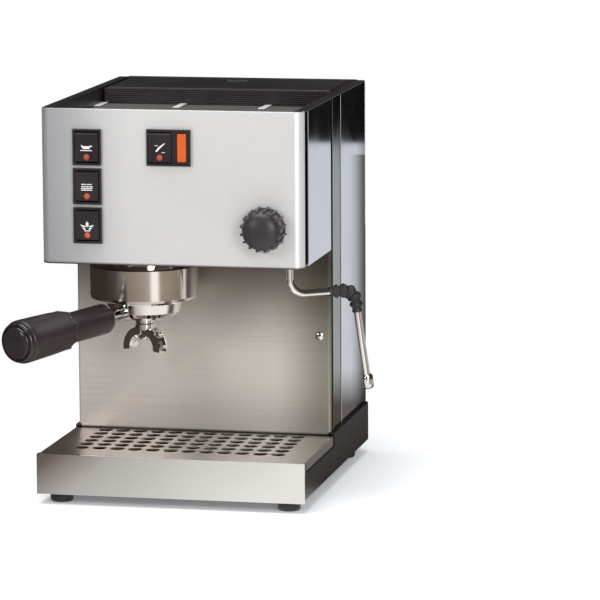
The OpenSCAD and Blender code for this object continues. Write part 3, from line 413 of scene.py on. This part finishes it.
def steam_knob():
    low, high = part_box("steam_knob")
    centre = Vector(((low.x + high.x) / 2, high.y, (low.z + high.z) / 2))
    radius = (high.x - low.x) / 2 / MM
    depth = (high.y - low.y) / MM
    out = -AXIS_Y
    dome = radius - FIN_STANDS
    bm = bmesh.new()
    lathe(bm, [(0, 0.2), (radius - 2.2, 0.2), (radius - 1.6, 0.6), (radius - 1.6, 1.6), (dome + 0.2, 2.4),
               (dome, 6), (dome, depth - 9), (dome - 0.2, depth - 7.6), (dome - 0.8, depth - 5.9),
               (dome - 1.9, depth - 4.3), (dome - 3.6, depth - 2.9), (dome - 5.9, depth - 1.8),
               (dome - 8.8, depth - 0.9), (dome - 12.2, depth - 0.3), (0, depth)], centre, out)
    for i in range(FINS):
        turn = math.tau * (i + 0.5) / FINS
        side = AXIS_X * math.cos(turn) + AXIS_Z * math.sin(turn)
        plate(bm, [(dome - 2, 1.0), (radius - 0.1, 1.0), (radius, 2.6), (radius - 0.8, depth - 9),
                   (radius - 1.3, depth - 6.6), (radius - 2.2, depth - 5.2), (radius - 3.6, depth - 4.6),
                   (dome - 3, depth - 4.6)], centre, side, out, FIN_THICKNESS, bevel=0.8, segments=3)
    piece_from(bm, "steam_knob_finned", BODY_OF["steam_knob"], SLOT_OF["steam_knob"], ["steam_knob"],
               finishes=["knob_black"])


# ---------------------------------------------------------------- portafilter
GROUP = Vector((-39, -72, 0)) * MM
HANDLE_TURN, HANDLE_SLOPE = math.radians(246), math.radians(2.5)
HANDLE_AXIS = Vector((math.cos(HANDLE_TURN) * math.cos(HANDLE_SLOPE),
                      math.sin(HANDLE_TURN) * math.cos(HANDLE_SLOPE), -math.sin(HANDLE_SLOPE)))
HANDLE_ORIGIN = GROUP + AXIS_Z * 161.555 * MM
GRIP_START, GRIP_END, CAP_END = 54.0, 169.0, 176.0
NECK_RADIUS, GRIP_RADIUS, STEP_AT, SCALLOPS = 13.1, 18.5, 106.2, 8


def portafilter_handle():
    bm = bmesh.new()
    rings = [(NECK_RADIUS, STEP_AT + k * 0.5) for k in range(25)]
    lathe(bm, [(0, GRIP_START + 0.3), (7.4, GRIP_START + 0.3), (8.6, GRIP_START), (10.2, GRIP_START + 0.4),
               (12.1, GRIP_START + 1.5), (12.9, GRIP_START + 3.4), (NECK_RADIUS, GRIP_START + 6)]
          + rings + [(GRIP_RADIUS - 1.0, STEP_AT + 20), (GRIP_RADIUS - 0.4, STEP_AT + 40),
                     (GRIP_RADIUS, GRIP_END - 5), (GRIP_RADIUS - 0.1, GRIP_END - 2.2),
                     (GRIP_RADIUS - 0.7, GRIP_END - 0.6), (GRIP_RADIUS - 1.5, GRIP_END), (0, GRIP_END)],
          HANDLE_ORIGIN, HANDLE_AXIS, steps=128)
    upright = HANDLE_AXIS.cross(AXIS_Z).normalized()
    above = upright.cross(HANDLE_AXIS)
    for vert in bm.verts:
        place = vert.co - HANDLE_ORIGIN
        along = place.dot(HANDLE_AXIS) / MM
        if STEP_AT - 0.1 < along < STEP_AT + 12.2:
            turn = math.atan2(place.dot(above), place.dot(upright))
            scallop = 5.0 * (0.5 + 0.5 * math.cos(SCALLOPS * turn)) ** 0.7
            rise = min(max((along - STEP_AT - scallop - 0.5) / 3.4, 0), 1)
            rise = math.sin(rise * math.pi / 2)
            radius = NECK_RADIUS + (GRIP_RADIUS - 1.5 - NECK_RADIUS) * rise
            out = place - HANDLE_AXIS * place.dot(HANDLE_AXIS)
            vert.co += out.normalized() * (radius * MM - out.length)
    piece_from(bm, "portafilter_grip", "portafilter", "black_plastic", ["portafilter_handle"],
               smooth_angle=50)
    bm = bmesh.new()
    lathe(bm, [(0, GRIP_END + 0.2), (17.0, GRIP_END + 0.2), (17.2, GRIP_END + 0.6), (17.0, GRIP_END + 2.0),
               (16.4, GRIP_END + 3.2), (15.6, GRIP_END + 3.8), (15.0, GRIP_END + 3.9), (14.7, GRIP_END + 3.3),
               (14.5, GRIP_END + 2.6), (13.9, GRIP_END + 2.6), (13.8, GRIP_END + 3.8),
               (13.3, GRIP_END + 4.8), (12.0, GRIP_END + 5.7), (8.0, GRIP_END + 6.6), (0, CAP_END)],
          HANDLE_ORIGIN, HANDLE_AXIS)
    piece_from(bm, "grip_end_cap", "portafilter", "gloss_black", ["handle_cap"])


def twin_spout():
    """A nut, a short column and two open chutes that curve out and down."""
    low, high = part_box("twin_spout")
    bottom, top = low.z / MM, high.z / MM
    column = Vector((GROUP.x, GROUP.y, 0))
    ahead = Vector((math.cos(HANDLE_TURN), math.sin(HANDLE_TURN), 0))
    beside = AXIS_Z.cross(ahead)
    bm = bmesh.new()
    lathe(bm, [(0, top), (7.2, top), (8.5, top - 0.7), (8.5, top - 5.0), (7.4, top - 5.8), (5.6, top - 6.4),
               (5.0, top - 8.0), (4.7, bottom + 14), (5.4, bottom + 11.2), (4.6, bottom + 9.4),
               (2.4, bottom + 8.6), (0, bottom + 8.4)], column, AXIS_Z, steps=48)
    section = [(5.4, 4.2), (5.4, -2.6), (3.8, -4.6), (-3.8, -4.6), (-5.4, -2.6), (-5.4, 4.2), (-4.0, 4.6),
               (-3.9, -1.6), (-2.6, -3.0), (2.6, -3.0), (3.9, -1.6), (4.0, 4.6)]
    centre = column + AXIS_Z * (bottom + 2.0) * MM
    for side in (-1, 1):
        away = beside * side
        hub = centre + away * 1.0 * MM
        start = [bm.verts.new(hub + (AXIS_Z * (14.6 + depth) + ahead * wide) * MM) for wide, depth in section]
        face = bm.faces.new(start)
        bmesh.ops.spin(bm, geom=[face], cent=hub, axis=AXIS_Z.cross(away), angle=math.radians(98), steps=14)
    piece_from(bm, "twin_spout_chutes", "portafilter", "bright_chrome", ["twin_spout"])


# ---------------------------------------------------------------- steam wand
SWIVEL = Vector((95.1, -98, 0)) * MM
WAND_TURN, WAND_TILT = math.radians(36), math.radians(9)
WAND_LEVEL, WAND_REACH, WAND_BEND, WAND_DROP = 180.5, 50.0, 12.0, 68.0
WAND_OUT = Vector((math.cos(WAND_TURN), math.sin(WAND_TURN), 0))
WAND_SIDE = WAND_OUT.cross(AXIS_Z)


def wand_point(along):
    """Place and direction on the wand, along from the start of its second bend; millimetres."""
    sweep = math.pi / 2 - WAND_TILT
    turned = min(max(along / WAND_BEND, 0), sweep)
    place = SWIVEL + (WAND_OUT * (WAND_REACH + WAND_BEND * math.sin(turned))
                      + AXIS_Z * (WAND_LEVEL - WAND_BEND * (1 - math.cos(turned)))) * MM
    ahead = WAND_OUT * math.cos(turned) - AXIS_Z * math.sin(turned)
    spare = along if along < 0 else max(along - WAND_BEND * sweep, 0)
    return place + ahead * spare * MM, ahead


def wand_grip():
    """A soft ribbed sleeve, thickest in its middle."""
    start, length, ribs, steps, bore = -13.0, 38.9, 6, 90, 3.3
    profile = [(bore, 0.0)]
    for k in range(steps + 1):
        share = k / steps
        body = 4.1 + 1.5 * math.sin(math.pi * min(max((share - 0.04) / 0.92, 0), 1)) ** 0.7
        ripple = 0.85 * math.cos(math.tau * ribs * share) * min(1, 8 * share, 8 * (1 - share) + 0.2)
        profile.append((body + ripple, share * length))
    profile.append((bore, length))
    bm = bmesh.new()
    lathe(bm, profile, Vector(), AXIS_Z, steps=40)
    for vert in bm.verts:
        place, ahead = wand_point(start + vert.co.z / MM)
        upper = WAND_SIDE.cross(ahead)
        vert.co = place + WAND_SIDE * vert.co.x + upper * vert.co.y
    piece_from(bm, "wand_grip_ribbed", "steam_wand", "black_rubber", ["wand_grip"], smooth_angle=60)


def wand_nozzle():
    sweep = WAND_BEND * (math.pi / 2 - WAND_TILT)
    tip, ahead = wand_point(sweep + WAND_DROP)
    bm = bmesh.new()
    lathe(bm, [(3.25, -3.0), (3.8, -3.0), (4.3, -2.7), (4.9, -1.7), (5.2, -0.4), (5.2, 5.2), (5.1, 6.4),
               (4.7, 7.8), (4.0, 8.9), (2.9, 9.6), (1.0, 9.9), (0.8, 9.2), (0, 9.2)],
          tip, ahead, steps=48)
    piece_from(bm, "wand_tip", "steam_wand", "bright_chrome", ["wand_nozzle"], smooth_angle=40)


# ---------------------------------------------------------------- switches
PIVOT_Y, CREASE_Z, FACE_TOP, FACE_FOOT, ROCKER_RADIUS = -131.0, 3.5, -4.4, -5.2, 13.0


def rocker_face(height):
    """The rocker's lower face, as its distance in front of the pivot."""
    return FACE_TOP + (FACE_FOOT - FACE_TOP) * (CREASE_Z - height) / (CREASE_Z + ROCKER_RADIUS)


def printed_mark(name, rocker, size, outlines):
    """White symbols standing a little proud of a rocker's face."""
    low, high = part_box(rocker)
    centre = Vector(((low.x + high.x) / 2, PIVOT_Y * MM, (low.z + high.z) / 2))
    bm = bmesh.new()
    for outline in outlines:
        outline = [(a * size, b * size) for a, b in outline]
        middle = sum(b for a, b in outline) / len(outline)
        plate(bm, [(a, b - middle) for a, b in outline],
              centre + Vector((0, rocker_face(middle) - 0.02, middle)) * MM, AXIS_X, AXIS_Z, 0.25)
    piece_from(bm, name, BODY_OF[rocker], SLOT_OF[rocker], finishes=["white_print"])


def bar(x0, x1, z0, z1):
    return [(x0, z0), (x1, z0), (x1, z1), (x0, z1)]


def switch_marks():
    cup = [(-3.9, 1.7), (-3.5, 0.2), (-2.2, -1.2), (2.0, -1.2), (3.2, 0.2), (3.6, 1.7), (3.0, 1.7),
           (2.7, 0.9), (-3.0, 0.9), (-3.3, 1.7)]
    printed_mark("brew_mark", "brew_rocker", 1.15,
                 [cup, bar(3.7, 4.6, 0.5, 1.2), bar(-4.4, 4.4, -2.6, -2.0)])
    dashes = [bar(x, x + 1.5, 1.2, 1.9) for x in (-3.9, -1.9, 0.4, 2.3)]
    dashes += [bar(x, x + 2.6, -0.5, 0.2) for x in (-4.0, -0.8, 2.1)]
    dashes += [bar(-4.4, 4.4, -1.7, -1.2), bar(-4.0, 4.2, -2.9, -2.3)]
    printed_mark("hot_water_mark", "hot_water_rocker", 1.15, dashes)
    plume = [(0, 2.6), (0.9, 1.2), (0.7, -0.2), (0, -1.0), (-0.7, -0.2), (-0.9, 1.2)]
    wings = []
    for side in (-1, 1):
        for wide, rise in ((4.4, 0.6), (3.4, -0.9), (2.2, -2.2)):
            wings.append([(side * 1.0, rise - 1.7), (side * wide * 0.7, rise - 1.2), (side * wide, rise),
                          (side * wide * 0.6, rise - 0.5), (side * 1.1, rise - 1.0)][::side])
    printed_mark("steam_mark", "steam_rocker", 1.4, [plume, *wings, bar(-0.9, 0.9, -3.4, -2.9)])
    stroke = [(-4.9, -5.2), (-4.2, -5.6), (0.2, -0.6), (4.0, 3.0), (4.2, 3.6), (3.4, 3.3), (-0.9, 0.3)]
    printed_mark("power_mark", "power_rocker", 1.15,
                 [stroke, bar(-3.6, -1.0, 1.4, 1.8), bar(1.6, 4.2, -3.6, -3.2)])


def switch_lamps():
    for name in ("brew_lamp", "hot_water_lamp", "steam_lamp", "power_lamp"):
        low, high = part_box(name)
        centre = Vector(((low.x + high.x) / 2, high.y, (low.z + high.z) / 2))
        radius, depth = (high.x - low.x) / 2 / MM, (high.y - low.y) / MM
        bm = bmesh.new()
        lathe(bm, [(0, 0), (radius, 0), (radius, depth - 1.6), (radius - 0.15, depth - 1.1),
                   (radius - 0.5, depth - 0.6), (radius - 1.1, depth - 0.25), (0, depth)],
              centre, -AXIS_Y, steps=32)
        piece_from(bm, name + "_lens", BODY_OF[name], "lamp_lens", [name])


CLIPS_X, CLIP_Y, CLIP_Z, CLIP_THICKNESS = (-102, -30, 47), 26, 326.6, 0.8
CLIP_OUTLINE = [(-3, -15), (3, -15), (3, 15), (-3, 15)]


def surround_tabs():
    """Bright clips over the cup tray, in front of the lid's surround."""
    bm = bmesh.new()
    for x in CLIPS_X:
        plate(bm, CLIP_OUTLINE, Vector((x, CLIP_Y, CLIP_Z)) * MM, AXIS_X, AXIS_Y, CLIP_THICKNESS, bevel=0.25)
    piece_from(bm, "surround_tabs", "root", SLOT_OF["cup_tray"], finishes=["clip_steel"])


steam_knob()
surround_tabs()
portafilter_handle()
twin_spout()
wand_grip()
wand_nozzle()
switch_marks()
switch_lamps()


# ---------------------------------------------------------------- studio
def area_light(name, place, aim, width, height, watts, colour=(1, 1, 1)):
    light = bpy.data.lights.new(name, "AREA")
    light.shape, light.size, light.size_y = "RECTANGLE", width, height
    light.energy, light.color = watts, colour
    lamp = bpy.data.objects.new(name, light)
    lamp.location = place
    lamp.rotation_euler = (Vector(aim) - Vector(place)).to_track_quat("-Z", "Y").to_euler()
    lamp.visible_camera = False
    bpy.context.scene.collection.objects.link(lamp)


def card(name, corners, colour, strength=0.0):
    """A flat card beside the object, seen only in its polished surfaces."""
    bm = bmesh.new()
    bm.faces.new([bm.verts.new(c) for c in corners])
    mesh = bpy.data.meshes.new(name)
    bm.to_mesh(mesh)
    bm.free()
    material, _, shader = finish_shader(name, Roughness=1.0)
    shader.inputs["Base Color"].default_value = (*colour, 1)
    shader.inputs["Emission Color"].default_value = (*colour, 1)
    shader.inputs["Emission Strength"].default_value = strength
    mesh.materials.append(material)
    plane = bpy.data.objects.new(name, mesh)
    bpy.context.scene.collection.objects.link(plane)
    plane.visible_camera = plane.visible_shadow = plane.visible_diffuse = False
    return plane


def ramp(tree, value, stops):
    """A colour ramp over the value; stops are (position, colour)."""
    node = add(tree, "ShaderNodeValToRGB", [("Fac", value)])
    marks = node.color_ramp.elements
    while len(marks) < len(stops):
        marks.new(1.0)
    for mark, (position, colour) in zip(marks, stops):
        mark.position = position
        mark.color = (*colour, 1)
    return node.outputs["Color"]


def math_node(tree, operation, *values):
    return add(tree, "ShaderNodeMath", list(enumerate(values)), operation=operation).outputs[0]


TABLE_EDGE = 2.5
CARD_LEFT, CARD_RIGHT, CARD_DEPTH, CARD_TOP = 0.115, 0.215, 0.36, 0.245
CARD_FADE_START, CARD_FADE_END = 0.155, 0.172


def floor_material():
    """White paper to look at; in polished metal, the darker table and room of a studio."""
    material, tree, shader = finish_shader("floor_paper", Roughness=0.9)
    shader.inputs["Specular IOR Level"].default_value = 0.0
    paper = add(tree, "ShaderNodeTexNoise", [("Scale", 3.0)]).outputs["Fac"]
    tree.links.new(colour_mix(tree, paper, (0.93, 0.94, 0.95), (0.96, 0.965, 0.97)),
                   shader.inputs["Base Color"])
    shader.inputs["Emission Color"].default_value = (0.95, 0.96, 1.0, 1)
    shader.inputs["Emission Strength"].default_value = 0.16
    place = add(tree, "ShaderNodeSeparateXYZ",
                [("Vector", add(tree, "ShaderNodeTexCoord").outputs["Object"])]).outputs
    turn = math_node(tree, "ARCTAN2", place["X"], math_node(tree, "MULTIPLY", place["Y"], -1.0))
    turn = map_range(tree, turn, -math.pi, math.pi, 0.0, 1.0)
    around = ramp(tree, turn, [(at / 360 + 0.5, colour) for at, colour in (
        (-170, (0.10, 0.08, 0.07)), (-150, (0.03, 0.022, 0.02)), (-75, (0.035, 0.022, 0.018)),
        (-48, (0.07, 0.06, 0.055)), (-30, (0.26, 0.23, 0.20)), (8, (0.44, 0.38, 0.32)),
        (22, (0.52, 0.49, 0.46)), (27, (1.3, 1.3, 1.3)), (38, (1.3, 1.3, 1.3)),
        (44, (0.42, 0.36, 0.30)), (92, (0.30, 0.24, 0.20)), (98, (1.0, 1.0, 1.0)),
        (106, (0.9, 0.9, 0.9)), (112, (0.12, 0.08, 0.07)), (128, (0.20, 0.17, 0.15)),
        (136, (0.75, 0.77, 0.80)), (172, (0.60, 0.64, 0.69)))])
    near = ramp(tree, map_range(tree, place["X"], -0.2, 0.12, 0.0, 1.0), [
        (0.0, (0.09, 0.065, 0.055)), (0.12, (0.17, 0.13, 0.11)), (0.3, (0.55, 0.51, 0.48)),
        (0.85, (0.98, 0.95, 0.89))])
    behind = map_range(tree, place["Y"], -0.1, -0.02, 0.0, 1.0)
    beside = colour_mix(tree, map_range(tree, place["X"], 0.11, 0.15, 0.0, 1.0), (0.03, 0.02, 0.018),
                        (0.14, 0.12, 0.11))
    near = colour_mix(tree, behind, near, beside)
    reach = add(tree, "ShaderNodeVectorMath", [(0, add(tree, "ShaderNodeTexCoord").outputs["Object"])],
                operation="LENGTH").outputs["Value"]
    mirrored = colour_mix(tree, map_range(tree, reach, 0.40, 0.60, 0.0, 1.0), near, around)
    beyond = map_range(tree, place["Y"], TABLE_EDGE - 0.04, TABLE_EDGE, 0.0, 1.0)
    mirrored = colour_mix(tree, beyond, mirrored, (0.006, 0.005, 0.005))
    glow = add(tree, "ShaderNodeEmission", [("Color", mirrored), ("Strength", 1.0)])
    white = add(tree, "ShaderNodeEmission", [("Strength", 1.0)])
    paper_end = add(tree, "ShaderNodeMixShader", [
        (0, map_range(tree, reach, 0.22, 0.6, 0.0, 1.0)), (1, shader.outputs["BSDF"]),
        (2, white.outputs["Emission"])])
    seen = add(tree, "ShaderNodeMixShader", [
        (0, add(tree, "ShaderNodeLightPath").outputs["Is Glossy Ray"]),
        (1, paper_end.outputs[0]), (2, glow.outputs["Emission"])])
    tree.links.new(seen.outputs[0], tree.nodes["Material Output"].inputs["Surface"])
    return material


def room_light():
    """White behind the object; a dim room for everything else."""
    world = bpy.data.worlds.new("studio")
    world.use_nodes = True
    tree = world.node_tree
    path = add(tree, "ShaderNodeLightPath").outputs
    room = tree.nodes["Background"]
    room.inputs["Color"].default_value = (0.95, 0.975, 1.0, 1)
    room.inputs["Strength"].default_value = 0.55
    dim = add(tree, "ShaderNodeBackground", [("Color", (0.05, 0.045, 0.045, 1)), ("Strength", 1.0)])
    white = add(tree, "ShaderNodeBackground", [("Color", (1, 1, 1, 1)), ("Strength", 1.0)])
    lit = add(tree, "ShaderNodeMixShader", [(0, path["Is Glossy Ray"]), (1, room.outputs[0]),
                                            (2, dim.outputs[0])])
    shown = add(tree, "ShaderNodeMixShader", [(0, path["Is Camera Ray"]), (1, lit.outputs[0]),
                                              (2, white.outputs[0])])
    tree.links.new(shown.outputs[0], tree.nodes["World Output"].inputs["Surface"])
    bpy.context.scene.world = world


def shade_card():
    """A dark card behind and to the right, for the polished right side to mirror."""
    corners = [(CARD_LEFT, 0.0), (CARD_RIGHT, 0.0), (CARD_RIGHT, CARD_TOP), (CARD_LEFT, CARD_TOP)]
    dark = card("shade_card", [(x, CARD_DEPTH, z) for x, z in corners], (0.0, 0.0, 0.0), 1.0)
    tree = dark.data.materials[0].node_tree
    place = add(tree, "ShaderNodeSeparateXYZ",
                [("Vector", add(tree, "ShaderNodeTexCoord").outputs["Object"])]).outputs["X"]
    tree.links.new(map_range(tree, place, CARD_FADE_START, CARD_FADE_END, 1.0, 0.0),
                   tree.nodes["Principled BSDF"].inputs["Alpha"])


def build_studio():
    bm = bmesh.new()
    bmesh.ops.create_grid(bm, x_segments=1, y_segments=1, size=12)
    mesh = bpy.data.meshes.new("floor")
    bm.to_mesh(mesh)
    bm.free()
    mesh.materials.append(floor_material())
    floor = bpy.data.objects.new("floor", mesh)
    bpy.context.scene.collection.objects.link(floor)
    room_light()
    bpy.context.scene.view_settings.view_transform = "Standard"
    area_light("top_box", (-0.2, -0.4, 2.2), (0, 0, 0.1), 1.6, 1.6, 37)
    area_light("key", (-0.8, -1.5, 0.78), (0, -0.1, 0.2), 0.3, 0.3, 4.5, (1.0, 0.99, 0.98))
    area_light("fill", (1.35, -1.95, 0.85), (0, 0, 0.2), 0.8, 0.9, 22)
    shade_card()


build_studio()
